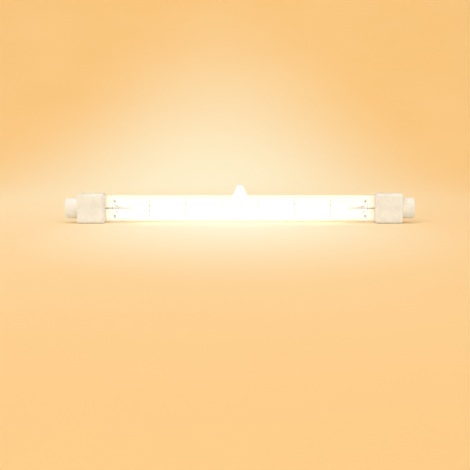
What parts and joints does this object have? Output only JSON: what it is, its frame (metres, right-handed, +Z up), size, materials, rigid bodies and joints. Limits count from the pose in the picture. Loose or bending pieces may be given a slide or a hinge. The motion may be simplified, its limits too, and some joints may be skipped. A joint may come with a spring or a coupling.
{
  "type": "linear halogen bulb",
  "caption": "Double-ended halogen bulb: a clear quartz tube with a coiled filament on spiral supports, pinch-sealed into a forked ceramic cap with a recessed contact at each end.",
  "frame": {"origin": "middle of the bulb's length and thickness, on the plane of the flat undersides of its two ceramic caps", "axes": "+X along the bulb, from the left cap to the right one; +Z up through the exhaust tip; Y across the broad faces of the pinches"},
  "size_m": [0.1176, 0.0086, 0.0126],
  "materials": {
    "fused_quartz": "clear, fire polished",
    "glowing_tungsten": "incandescent",
    "tungsten_wire": "drawn wire, dull grey",
    "molybdenum": "rolled foil and drawn wire",
    "steatite": "unglazed, fine matt grain",
    "lamp_cement": "matt, gritty",
    "nickel": "plated, satin"
  },
  "bodies": {
    "root": {"quartz_envelope": "fused_quartz", "filament": "glowing_tungsten", "filament_support_1": "tungsten_wire", "filament_support_2": "tungsten_wire", "filament_support_3": "tungsten_wire", "filament_support_4": "tungsten_wire", "filament_support_5": "tungsten_wire", "filament_support_6": "tungsten_wire", "inner_lead_left": "tungsten_wire", "inner_lead_right": "tungsten_wire", "foil_left": "molybdenum", "foil_right": "molybdenum", "outer_lead_left": "molybdenum", "outer_lead_right": "molybdenum", "ceramic_cap_left": "steatite", "ceramic_cap_right": "steatite", "cement_left": "lamp_cement", "cement_right": "lamp_cement", "contact_left": "nickel", "contact_right": "nickel"}
  },
  "joints": []
}
